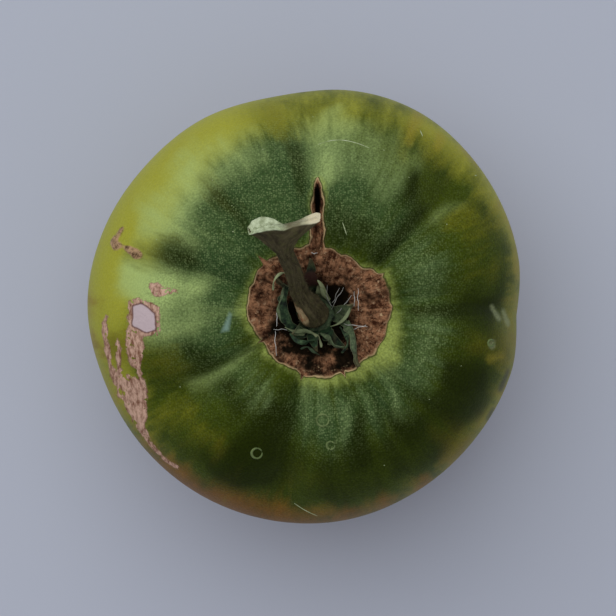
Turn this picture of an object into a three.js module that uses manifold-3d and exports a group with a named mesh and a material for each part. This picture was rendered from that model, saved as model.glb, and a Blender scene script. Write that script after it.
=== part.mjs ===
// A ribbed green beefsteak tomato, picked with its shrivelled calyx and a stub of stalk.
// Millimetres, +Z up. The fruit stands on the small flat spot under it, and the origin is the middle of the
// overall box at that height. Seen from above, +X is right and +Y is up, and angles are degrees anticlockwise
// from +X.
import * as THREE from "three";
import { mergeVertices } from "three/addons/utils/BufferGeometryUtils.js";
import Module from "manifold-3d";

const wasm = await Module();
wasm.setup();

// Driving dimensions of the fruit.
const EQUATOR_Z = 36.5;
const CROWN_RISE = 34;
const BASE_DROP = 36.85;
const ROUNDNESS = 2.25;
// Radius of the widest girth every 20 degrees, from 0.
const GIRTH = [
  46.9, 47.7, 48.4, 49.0, 48.2, 46.6, 47.2, 47.3, 48.1, 48.7, 48.0, 48.0, 48.1, 48.1, 48.0, 47.4, 47.0, 47.0,
];
const GIRTH_MEAN = 48;
// The middle of the girth stands off the origin by this much. Above the latitude that follows, the skin closes
// round the middle of the stalk hollow instead.
const GIRTH_SHIFT = [1.03, 0.26];
const HOLLOW_LATITUDE = 70;

// The stalk hollow sits off the fruit's middle, as a wide bowl with a narrower pit in it.
const HOLLOW_CENTRE = [2.96, -1.33];
const BOWL = { depth: 7, radius: 27 };
const PIT = { depth: 9, radius: 11.5 };

// Creases between the ribs: angle at the hollow and at the girth, depth, half width in degrees,
// and how far down the shoulder each one runs, as the latitude where it has faded out.
const CREASES = [
  { from: 90, to: 89, depth: 3.0, half: 17, fades: -4 },
  { from: 131, to: 132, depth: 2.6, half: 14, fades: 26 },
  { from: 161, to: 167, depth: 3.3, half: 15, fades: 20 },
  { from: 211, to: 210, depth: 3.4, half: 17, fades: 14 },
  { from: 233, to: 236, depth: 0.8, half: 8, fades: 30 },
  { from: 258, to: 261, depth: 4.0, half: 19, fades: 4 },
  { from: 292, to: 293, depth: 1.3, half: 7, fades: 26 },
  { from: 305, to: 304, depth: 1.1, half: 6, fades: 30 },
  { from: 318, to: 317, depth: 1.7, half: 9, fades: 18 },
  { from: 9, to: -3, depth: 2.8, half: 15, fades: -14 },
  { from: 38, to: 44, depth: 3.4, half: 16, fades: 14 },
];
// The power of the fall from a crease's edge to its bottom, and how much of the half width is rounded off
// there.
const CREASE_SHARP = 1.6;
const CREASE_ROUND = 0.06;
// The latitudes between which a crease swings from its angle at the hollow to its angle at the girth.
const CREASE_SWINGS = [75, 10];
// Radii from the hollow's middle where the creases begin and are full, and the latitudes that they take to
// fade out.
const CREASE_STARTS = 10;
const CREASE_FULL = 19;
const CREASE_FADE = 38;
// The creases show again, faintly, as lobes round the blossom end: their share of the depth, and where.
const LOBES = { share: 0.3, latitude: -52, spread: 16 };

// The healed growth crack runs from the hollow's edge up the rib valley at 90 degrees, with an open slit
// near its tip.
const CRACK = { angle: 90, half: 1.35, depth: 1.3, from: 11.5, to: 28.6 };
const SLIT = { half: 0.75, depth: 3.2, from: 20.6, to: 27.4 };
// Both taper off over the first sixth and the last quarter of their length.
const CUT_TAPER_IN = 1 / 6;
const CUT_TAPER_OUT = 1 / 4;
// They lie within this many degrees of their angle.
const CUT_SECTOR = 45;

// The stalk: its centre line, and its half width and half thickness along that line.
const STALK_LINE = [
  [2.26, -1.83, 59.25],
  [1.66, -0.63, 61.4],
  [0.16, 1.27, 64.4],
  [-0.94, 3.27, 67.4],
  [-1.54, 5.27, 70.3],
  [-2.04, 7.27, 73.0],
  [-2.94, 9.27, 75.6],
  [-3.84, 11.27, 78.2],
  [-4.24, 13.47, 81.0],
  [-3.99, 15.87, 83.6],
];
const STALK_FOOT = 3.2;
const STALK_NECK = 1.7;
// The foot's flare fades over this share of the line, and each ring of the stalk stays at least this much above
// the one before it.
const STALK_FOOT_FADES = 0.2;
const STALK_FOOT_RISE = 0.15;
// The top flares into a wide head, where the stalk was snipped off the truss: a thick arm on the left with a
// hump in its middle, a thin waist, and an arm on the right that rises to its tip. A place across the head runs
// from -1 at the left end to 1 at the right.
const HEAD_ACROSS = [14.3, 2.0, 0.4];
const HEAD_HALF_WIDTH = 7.2;
const HEAD_HALF_THICKNESS = 2.3;
const HEAD_STARTS = 0.76;
const HEAD_FLARE = 1.7;
const HEAD_BLUNT = 0.5;
const HEAD_WAIST = { share: 0.75, at: 0.25, spread: 0.6 };
const HEAD_LEFT_HUMP = { rise: 1.0, at: -0.42 };
const HEAD_RIGHT_RISE = 2.9;
// The middle of the cut face lies this much below its edge.
const HEAD_SUNK = 0.5;

// The calyx: a cup under the stalk, and narrow dried sepals that run from it up the wall of the hollow.
const CUP_PROFILE = [
  [0, 55.25],
  [1.6, 55.75],
  [2.9, 56.95],
  [3.95, 58.3],
  [3.9, 58.95],
  [0, 58.95],
];
const CUP_CENTRE = [2.56, -1.63];
const SEPAL_THICKNESS = 0.75;
const SEPAL_CLEAR = 1.1;
const SEPAL_CURL = 0.5;
// The shares of its length between which a sepal lifts off the wall.
const SEPAL_LIFTS = [0.15, 0.5];
// Each sepal: the angle it leaves at, how far round its tip has bent and between which shares of its length it
// bends, where it ends, its half width, how high it stands off the wall midway and at the tip, and the roll of
// its blade.
const SEPALS = [
  { angle: 2, drift: 12, turns: [0, 1], reach: 8.2, half: 1.6, lift: 1.5, tip: 1.8, roll: 15 },
  { angle: 68, drift: 12, turns: [0, 1], reach: 6.5, half: 1.6, lift: 1.8, tip: 1.3, roll: -25 },
  { angle: 104, drift: -8, turns: [0, 1], reach: 11.9, half: 1.4, lift: 1.3, tip: 1.3, roll: 15 },
  { angle: 226, drift: -6, turns: [0, 1], reach: 6.8, half: 1.3, lift: 1.7, tip: 1.4, roll: -20 },
  { angle: 242, drift: -105, turns: [0.15, 0.65], reach: 11.0, half: 1.1, lift: 1.2, tip: 1.9, roll: -40 },
  { angle: 262, drift: 10, turns: [0, 1], reach: 7.8, half: 1.3, lift: 1.2, tip: 1.3, roll: 25 },
  { angle: 300, drift: 12, turns: [0, 1], reach: 9.8, half: 1.5, lift: 1.3, tip: 1.4, roll: 30 },
  { angle: 352, drift: -42, turns: [0, 1], reach: 14.2, half: 1.0, lift: 1.5, tip: 0.9, roll: 40 },
];
const SEPAL_ROOT = 3.1;
// A blade's half width, as shares of its half: at its root, added at its widest, and where it is widest.
// The last number keeps its tip a little blunt.
const SEPAL_ROOT_WIDTH = 0.75;
const SEPAL_SWELL = 0.6;
const SEPAL_WIDEST = 0.62;
const SEPAL_TIP_BLUNT = 0.04;

// The fruit's columns and rows of faces, and where they crowd together: each bell has its height and its spread
// in degrees, and the latitude it stands at.
const FRUIT_COLUMNS = 116;
const FRUIT_ROWS = 38;
const CREASE_CROWD = { height: 0.5, spread: 5 };
const CRACK_CROWD = { height: 5, spread: 3.4 };
const HOLLOW_CROWD = { height: 3.2, spread: 9, at: 80 };
const SHOULDER_CROWD = { height: 0.8, spread: 14, at: 60 };
const CUP_SIDES = 24;
const STALK_SIDES = 24;
const STALK_STEPS = 30;
const SEPAL_SIDES = 8;
const SEPAL_STEPS = 10;

const radians = THREE.MathUtils.degToRad;
const clamp01 = (x) => Math.min(1, Math.max(0, x));
const bell = (x) => Math.exp(-x * x);

// 0 below low, 1 above high, and a smooth S between them.
function smooth(low, high, x) {
  const t = clamp01((x - low) / (high - low));
  return t * t * (3 - 2 * t);
}

// The shortest turn from one angle to another, from -180 to 180 degrees.
function turn(from, to) {
  return ((((to - from + 180) % 360) + 360) % 360) - 180;
}

// Values from low to high whose spacing shrinks where density is large.
function crowded(count, low, high, density) {
  const fine = 2000;
  const total = [0];
  for (let i = 1; i <= fine; i++) {
    total.push(total[i - 1] + density(low + ((high - low) * (i - 0.5)) / fine));
  }
  const values = [];
  let at = 0;
  for (let i = 0; i <= count; i++) {
    const wanted = (total[fine] * i) / count;
    while (at < fine - 1 && total[at + 1] < wanted) at++;
    const share = (wanted - total[at]) / (total[at + 1] - total[at]);
    values.push(low + ((high - low) * (at + clamp01(share))) / fine);
  }
  return values;
}

// The girth's radius at an angle: a closed Catmull-Rom curve through GIRTH.
function girth(angle) {
  const step = 360 / GIRTH.length;
  const place = (((angle % 360) + 360) % 360) / step;
  const i = Math.floor(place);
  const t = place - i;
  const [a, b, c, d] = [-1, 0, 1, 2].map((k) => GIRTH[(i + k + GIRTH.length) % GIRTH.length]);
  return b + 0.5 * t * (c - a + t * (2 * a - 5 * b + 4 * c - d + t * (3 * (b - c) + d - a)));
}

// How far the stalk hollow has sunk the crown at a distance from the hollow's middle.
function hollow(r) {
  const dip = ({ depth, radius }) => (r < radius ? depth * 0.5 * (1 + Math.cos((Math.PI * r) / radius)) : 0);
  return dip(BOWL) + dip(PIT);
}

// Height of the wall of the hollow, without creases.
function wallHeight(r) {
  const share = clamp01(r / GIRTH_MEAN) ** ROUNDNESS;
  return EQUATOR_Z + CROWN_RISE * (1 - share) ** (1 / ROUNDNESS) - hollow(r);
}

// Depth of the creases between ribs at an angle and latitude, r millimetres from the hollow's middle.
function creaseDepth(angle, latitude, r) {
  const start = smooth(CREASE_STARTS, CREASE_FULL, r);
  let sum = 0;
  for (const { from, to, depth, half, fades } of CREASES) {
    const centre = from + turn(from, to) * smooth(...CREASE_SWINGS, latitude);
    const off = Math.hypot(turn(centre, angle) / half, CREASE_ROUND);
    const shoulder = smooth(fades, fades + CREASE_FADE, latitude);
    const lobe = LOBES.share * bell((latitude - LOBES.latitude) / LOBES.spread);
    if (off < 1) sum += depth * (1 - off) ** CREASE_SHARP * (shoulder + lobe);
  }
  return sum * start;
}

// Depth of the crack and its slit, for a point r millimetres out at an angle.
function crackDepth(angle, r) {
  const off = r * Math.sin(radians(turn(CRACK.angle, angle)));
  const cut = ({ half, depth, from, to }) => {
    const along = clamp01((r - from) / (to - from));
    const taper = Math.sqrt(clamp01((1 - along) / CUT_TAPER_OUT) * clamp01(along / CUT_TAPER_IN));
    return depth * taper * smooth(1, 0, Math.abs(off) / half);
  };
  return Math.abs(turn(CRACK.angle, angle)) < CUT_SECTOR ? cut(CRACK) + cut(SLIT) : 0;
}

// A point of the fruit's skin at an angle and latitude. The meridian is a superellipse, whose upper half closes
// round the hollow's middle and whose lower half closes round the girth's. Creases sink it along the latitude's
// direction.
function skinPoint(angle, latitude) {
  const a = radians(latitude);
  const out = Math.abs(Math.cos(a)) ** (2 / ROUNDNESS);
  const up = Math.abs(Math.sin(a)) ** (2 / ROUNDNESS);
  const shift = smooth(0, HOLLOW_LATITUDE, latitude);
  const r = girth(angle) * out;
  const dent = creaseDepth(angle, latitude, r);
  const reach = r - dent * Math.cos(a);
  const crown = EQUATOR_Z + CROWN_RISE * up - hollow(r) - dent * Math.sin(a) - crackDepth(angle, r);
  const base = Math.max(0, EQUATOR_Z - BASE_DROP * up - dent * Math.sin(a));
  return new THREE.Vector3(
    HOLLOW_CENTRE[0] * shift + GIRTH_SHIFT[0] * (1 - shift) + reach * Math.cos(radians(angle)),
    HOLLOW_CENTRE[1] * shift + GIRTH_SHIFT[1] * (1 - shift) + reach * Math.sin(radians(angle)),
    latitude > 0 ? crown : base,
  );
}

// A closed skin over rings of points, all with the same count, that a point closes at each end.
function closedSkin(start, rings, end) {
  const count = rings[0].length;
  const points = [start, ...rings.flat(), end];
  const last = points.length - 1;
  const index = [];
  for (let j = 0; j < count; j++) {
    const next = (j + 1) % count;
    index.push(0, 1 + next, 1 + j);
    for (let i = 0; i < rings.length - 1; i++) {
      const low = 1 + i * count;
      const high = low + count;
      index.push(low + j, low + next, high + next, low + j, high + next, high + j);
    }
    index.push(last, last - count + j, last - count + next);
  }
  return new THREE.BufferGeometry().setFromPoints(points).setIndex(index);
}

// A closed geometry as a manifold-3d solid, turned so that its faces point out.
function solid(geometry) {
  const bare = geometry.clone();
  bare.deleteAttribute("normal");
  bare.deleteAttribute("uv");
  const merged = mergeVertices(bare, 1e-4);
  const vertProperties = merged.attributes.position.array;
  const triVerts = new Uint32Array(merged.index.array);
  const made = new wasm.Manifold(new wasm.Mesh({ numProp: 3, vertProperties, triVerts }));
  if (made.volume() > 0) return made;
  return new wasm.Manifold(new wasm.Mesh({ numProp: 3, vertProperties, triVerts: triVerts.reverse() }));
}

function geometryOf(made) {
  const { vertProperties, triVerts } = made.getMesh();
  return new THREE.BufferGeometry()
    .setAttribute("position", new THREE.BufferAttribute(new Float32Array(vertProperties), 3))
    .setIndex(new THREE.BufferAttribute(new Uint32Array(triVerts), 1));
}

// The fruit: one solid, with columns crowded together at the creases and rows at the hollow.
function fruitGeometry() {
  const crowd = ({ height, spread }, off) => height * bell(off / spread);
  const nearCreases = (angle) => {
    const creases = CREASES.reduce((sum, { from }) => sum + crowd(CREASE_CROWD, turn(from, angle)), 0);
    return 1 + creases + crowd(CRACK_CROWD, turn(CRACK.angle, angle));
  };
  const nearHollow = (latitude) =>
    1 + crowd(HOLLOW_CROWD, latitude - HOLLOW_CROWD.at) + crowd(SHOULDER_CROWD, latitude - SHOULDER_CROWD.at);
  const angles = crowded(FRUIT_COLUMNS, -90, 270, nearCreases).slice(0, -1);
  const flatEdge = -THREE.MathUtils.radToDeg(Math.asin((EQUATOR_Z / BASE_DROP) ** (ROUNDNESS / 2)));
  const latitudes = crowded(FRUIT_ROWS, flatEdge, 90, nearHollow).slice(0, -1);
  const rings = latitudes.map((latitude) => angles.map((angle) => skinPoint(angle, latitude)));
  return geometryOf(solid(closedSkin(skinPoint(0, -90), rings, skinPoint(0, 90))));
}

// The stalk: a tube along its line that widens to the foot, and whose round section turns into a wide one with
// a thin waist at the top, where the left arm bulges up in its middle and the right arm rises to its tip.
function stalkGeometry() {
  const line = new THREE.CatmullRomCurve3(STALK_LINE.map((p) => new THREE.Vector3(...p)));
  const across = new THREE.Vector3(...HEAD_ACROSS).normalize();
  const rings = [];
  for (let i = 0; i <= STALK_STEPS; i++) {
    const t = i / STALK_STEPS;
    const middle = line.getPointAt(t);
    const along = line.getTangentAt(t);
    const thin = new THREE.Vector3().crossVectors(along, across).normalize();
    const wide = new THREE.Vector3().crossVectors(thin, along);
    const foot = (STALK_FOOT - STALK_NECK) * bell(t / STALK_FOOT_FADES);
    const flare = clamp01((t - HEAD_STARTS) / (1 - HEAD_STARTS)) ** HEAD_FLARE;
    const halfWidth = STALK_NECK + foot + (HEAD_HALF_WIDTH - STALK_NECK) * flare;
    const halfThickness = STALK_NECK + foot + (HEAD_HALF_THICKNESS - STALK_NECK) * flare;
    const blunt = THREE.MathUtils.lerp(1, HEAD_BLUNT, flare);
    const ring = [];
    for (let k = 0; k < STALK_SIDES; k++) {
      const turned = (2 * Math.PI * k) / STALK_SIDES;
      const [u, v] = [Math.cos(turned), Math.sin(turned)].map((x) => Math.sign(x) * Math.abs(x) ** blunt);
      const waist = 1 - HEAD_WAIST.share * bell((u - HEAD_WAIST.at) / HEAD_WAIST.spread) * flare;
      const hump = HEAD_LEFT_HUMP.rise * (1 - (u / HEAD_LEFT_HUMP.at - 1) ** 2);
      ring.push(
        middle
          .clone()
          .addScaledVector(wide, halfWidth * u)
          .addScaledVector(thin, halfThickness * waist * v)
          .addScaledVector(along, flare * (u > 0 ? HEAD_RIGHT_RISE * u : hump)),
      );
    }
    rings.push(ring);
  }
  // The foot stands level on the cup, and each ring of the leaning stalk is kept a step above the last.
  for (const p of rings[0]) p.z = STALK_LINE[0][2];
  rings.slice(1).forEach((ring, i) => {
    const lowest = STALK_LINE[0][2] + STALK_FOOT_RISE * (i + 1);
    for (const p of ring) p.z = Math.max(p.z, lowest);
  });
  const end = rings[STALK_STEPS].reduce((sum, p) => sum.add(p), new THREE.Vector3());
  end.divideScalar(STALK_SIDES).addScaledVector(line.getTangentAt(1), -HEAD_SUNK);
  return geometryOf(solid(closedSkin(new THREE.Vector3(...STALK_LINE[0]), rings, end)));
}

// One sepal: a thin pointed blade that leaves the cup, follows the wall of the hollow and curls off it at its
// tip.
function sepalGeometry({ angle, drift, turns, reach, half, lift, tip, roll }) {
  const at = (t) => {
    const r = THREE.MathUtils.lerp(SEPAL_ROOT, reach, t);
    const a = radians(angle + drift * smooth(...turns, t));
    const off = THREE.MathUtils.lerp(lift * Math.sin(Math.PI * Math.min(t, 0.5)), tip, smooth(0.5, 1, t));
    const x = CUP_CENTRE[0] + r * Math.cos(a);
    const y = CUP_CENTRE[1] + r * Math.sin(a);
    const wall = wallHeight(Math.hypot(x - HOLLOW_CENTRE[0], y - HOLLOW_CENTRE[1]));
    return new THREE.Vector3(x, y, wall + SEPAL_CLEAR + off * smooth(...SEPAL_LIFTS, t));
  };
  const line = new THREE.CatmullRomCurve3([0, 1, 2, 3, 4, 5, 6, 7, 8].map((k) => at(k / 8)));
  const rings = [];
  for (let i = 0; i <= SEPAL_STEPS; i++) {
    const t = i / SEPAL_STEPS;
    const along = line.getTangentAt(t);
    const level = new THREE.Vector3(0, 0, 1).cross(along).normalize();
    const wide = level.applyAxisAngle(along, radians(roll) * t);
    const face = new THREE.Vector3().crossVectors(along, wide);
    const swell = SEPAL_SWELL * Math.sin((Math.PI / 2) * (t / SEPAL_WIDEST));
    const halfWidth = half * (SEPAL_ROOT_WIDTH + swell) * Math.sqrt(1 + SEPAL_TIP_BLUNT - t);
    const ring = [];
    for (let k = 0; k < SEPAL_SIDES; k++) {
      const turned = (2 * Math.PI * k) / SEPAL_SIDES;
      const rise = (SEPAL_THICKNESS / 2) * Math.sin(turned) + SEPAL_CURL * t * Math.cos(turned) ** 2;
      ring.push(
        line
          .getPointAt(t)
          .addScaledVector(wide, halfWidth * Math.cos(turned))
          .addScaledVector(face, rise),
      );
    }
    rings.push(ring);
  }
  return closedSkin(line.getPointAt(0), rings, line.getPointAt(1));
}

// The calyx: the cup with its sepals joined on, as one body.
function calyxGeometry() {
  const profile = CUP_PROFILE.map(([r, z]) => new THREE.Vector2(r, z));
  const cup = new THREE.LatheGeometry(profile, CUP_SIDES).rotateX(Math.PI / 2).translate(...CUP_CENTRE, 0);
  return geometryOf(SEPALS.reduce((whole, s) => whole.add(solid(sepalGeometry(s))), solid(cup)));
}

function piece(name, geometry, color, roughness) {
  const material = new THREE.MeshStandardMaterial({ color, roughness, metalness: 0, flatShading: true });
  const mesh = new THREE.Mesh(geometry, material);
  mesh.name = name;
  return mesh;
}

const tomato = new THREE.Group();
tomato.add(
  piece("fruit", fruitGeometry(), "#5f7a2c", 0.42),
  piece("calyx", calyxGeometry(), "#3f5440", 0.85),
  piece("stalk", stalkGeometry(), "#6f6850", 0.9),
);

export default tomato;
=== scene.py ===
import bpy
import numpy as np
from mathutils.bvhtree import BVHTree
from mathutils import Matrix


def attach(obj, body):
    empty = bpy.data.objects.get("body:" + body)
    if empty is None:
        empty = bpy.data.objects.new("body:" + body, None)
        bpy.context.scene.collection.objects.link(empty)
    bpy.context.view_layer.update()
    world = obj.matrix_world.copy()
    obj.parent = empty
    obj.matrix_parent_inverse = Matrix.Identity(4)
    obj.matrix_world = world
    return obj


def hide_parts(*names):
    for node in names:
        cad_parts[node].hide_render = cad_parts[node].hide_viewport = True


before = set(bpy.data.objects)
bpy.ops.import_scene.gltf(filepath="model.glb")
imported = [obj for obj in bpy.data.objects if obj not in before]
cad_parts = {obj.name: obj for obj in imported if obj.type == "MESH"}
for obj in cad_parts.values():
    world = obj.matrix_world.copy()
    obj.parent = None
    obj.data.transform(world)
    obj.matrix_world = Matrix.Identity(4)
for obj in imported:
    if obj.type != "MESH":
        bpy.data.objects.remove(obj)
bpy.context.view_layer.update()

# The fruit: one ribbed green beefsteak tomato with a thin waxy skin over firm flesh. It grew as one piece,
# so its shape is one skin that sinks into the stalk hollow, with cork healed over every place where it
# split. All sizes are in millimetres. Angles are degrees anticlockwise from +X, seen from above.
MM = 0.001
EQUATOR_Z = 36.5
GIRTH_RADIUS = 48
CROWN_RISE = 34
BASE_DROP = 36.85
ROUNDNESS = 2.25
# The radius of the girth every 20 degrees, and where its middle lies.
GIRTH = [
    46.9, 47.7, 48.4, 49.0, 48.2, 46.6, 47.2, 47.3, 48.1, 48.7, 48.0, 48.0, 48.1, 48.1, 48.0, 47.4, 47.0,
    47.0,
]
GIRTH_SHIFT = (1.03, 0.26)
HOLLOW_CENTRE = (2.96, -1.33)
BOWL = dict(depth=7, radius=27)
PIT = dict(depth=9, radius=11.5)
CREASES = [
    dict(start=90, end=89, depth=3.0, half=17, fades=-4),
    dict(start=131, end=132, depth=2.6, half=14, fades=26),
    dict(start=161, end=167, depth=3.3, half=15, fades=20),
    dict(start=211, end=210, depth=3.4, half=17, fades=14),
    dict(start=233, end=236, depth=0.8, half=8, fades=30),
    dict(start=258, end=261, depth=4.0, half=19, fades=4),
    dict(start=292, end=293, depth=1.3, half=7, fades=26),
    dict(start=305, end=304, depth=1.1, half=6, fades=30),
    dict(start=318, end=317, depth=1.7, half=9, fades=18),
    dict(start=9, end=-3, depth=2.8, half=15, fades=-14),
    dict(start=38, end=44, depth=3.4, half=16, fades=14),
]
CREASE_SHARP = 1.6
CREASE_ROUND = 0.06
# The radii from the hollow's middle between which the creases deepen, the latitudes between which they turn
# from their start to their end angle, and how far above the latitude where one is gone it is full.
CREASE_STARTS, CREASE_FULL = 10, 19
CREASE_TURNS = (75, 10)
CREASE_FADE = 38
# The latitudes between which the skin's rings move from the girth's middle to the hollow's.
MIDDLE_MOVES = (0, 70)
LOBES = dict(share=0.3, latitude=-52, spread=16)
# The healed crack and the slit in it run out along one angle. Each has a share of its half width at both
# ends, and the shares of its length, as one part in so many, over which its mark tapers there.
CRACK = dict(angle=90, half=1.35, depth=1.3, start=11.5, end=28.6, widths=(1.15, 0.8), tapers=(100, 5))
SLIT = dict(half=0.75, depth=3.2, start=20.6, end=27.4, widths=(1, 1), tapers=(3, 3))
CUT_TAPERS = (6, 4)
# A cut has no effect further round the fruit than this, in degrees.
CUT_REACH = 45

# Healed cork round the stalk hollow: its radius every 15 degrees, and the small spikes where it runs out
# into the skin.
CORK_RING = [15.1, 15.1, 15.4, 13.4, 13.0, 13.1, 14.0, 14.1, 14.2, 15.0, 15.0, 15.0,
             14.7, 13.4, 12.8, 13.1, 12.5, 13.2, 13.4, 13.5, 14.1, 13.9, 14.6, 14.7]
CORK_SPIKES = [(31, 0.8, 3.0), (136.5, 2.9, 2.6), (207, 1.0, 1.6), (256, 1.3, 1.8), (293, 1.0, 2.4)]
# Old scars on the left shoulder, as outlines and strokes in plan. A stroke's third number is its half width.
SCAR_OUTLINES = [
    [(-32.2, 4.7), (-30.6, 4.8), (-28.9, 3.9), (-26.2, 3.3), (-28.4, 2.7), (-30.2, 2.1), (-31.9, 2.2)],
    [(-37.0, 1.1), (-34.6, 1.7), (-30.2, -0.0), (-30.0, -5.9), (-33.3, -6.3), (-37.1, -5.0)],
    [(-37.2, -4.6), (-33.7, -5.8), (-33.7, -9.7), (-34.8, -13.3), (-36.4, -12.8), (-37.6, -9.4)],
    [(-40.0, -15.4), (-36.8, -14.4), (-34.1, -16.8), (-33.6, -23.3), (-34.8, -27.8), (-36.4, -25.6),
     (-38.4, -21.4)],
]
SCAR_STROKES = [
    [(-42.2, -2.4, 0.3), (-42.6, -5.2, 0.6), (-41.9, -9.5, 0.7), (-40.8, -14.8, 0.7), (-39.3, -18.8, 0.9)],
    [(-39.5, -6.9, 0.3), (-39.6, -11.6, 0.5), (-38.8, -18.3, 0.7)],
    [(-35.1, -12.7, 0.35), (-34.0, -16.8, 0.45), (-33.9, -23.3, 0.45)],
    [(-34.8, -26.8, 0.6), (-33.2, -29.4, 0.5), (-31.1, -31.7, 0.35)],
    [(-30.4, -32.6, 0.3), (-28.6, -33.8, 0.4), (-27.1, -34.6, 0.25)],
]
WINDOW_OUTLINE = [(-36.0, -0.0), (-33.9, 0.5), (-31.0, -1.5), (-30.8, -5.1), (-33.0, -5.5), (-36.2, -4.1)]
SCAB_STROKES = [
    [(-39.0, 16.5, 0.3), (-39.7, 14.8, 0.5), (-40.6, 13.6, 1.0)],
    [(-40.6, 13.6, 0.6), (-38.0, 12.6, 0.7), (-36.0, 11.4, 1.1), (-34.7, 11.0, 0.8)],
]
SMUDGE_STROKES = [
    [(40.1, -0.2, 0.4), (41.7, -2.6, 0.6)], [(42.9, -0.9, 0.4), (44.1, -3.6, 0.6)],
    [(39.9, -8.4, 0.7), (40.2, -7.6, 0.4)],
]
OCHRE_STROKES = [
    [(24.8, 41.5, 1.3), (23.0, 37.5, 1.0), (22.3, 34.5, 0.5)], [(35.5, 34.5, 1.4), (37.8, 31.0, 1.0)],
    [(29.5, 36.2, 0.9), (28.6, 34.0, 0.5)], [(39.4, -11.2, 0.8), (42.2, -10.6, 0.6)],
    [(46.0, 12.5, 0.9), (46.4, 6.5, 0.8)],
]
BRUISE_STROKES = [[(44.2, -14.0, 0.5), (42.6, -17.6, 0.8)], [(40.9, -22.6, 0.6), (40.1, -24.4, 0.5)]]
# Painted shadow deep in the hollow: its cork is painted black round these places, where the pit and the
# sepals shade it. Where each is, and how far off the shadow is full and gone.
HOLLOW_SHADOWS = [((1.8, -4.0), 4, 11.5), ((6.3, 1.6), 1.5, 4.5), ((9.0, -10.8), 0.5, 3.5)]
SCUFF_OUTLINE = [(-15.5, -0.9), (-14.7, -1.6), (-15.3, -5.3), (-17.5, -5.7)]
# How far the edges of the marks wander: by how much, over what size, and the seed. Then how deep the cork
# has sunk, how high its lip, the scars and the scabs stand, and how bumpy the cork is.
EDGE_WANDER = [(0.32, 3.4, 3), (0.06, 1.2, 4)]
CORK_SUNK, LIP_RISE, SCAR_RISE, SCAB_RISE = 0.25, 0.22, 0.12, 0.3
CORK_BUMPS = 0.16
# What stands for a place far outside a mark, and the latitude below which there are no marks.
FAR_OUTSIDE = -9
MARKS_ABOVE = -5
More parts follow.
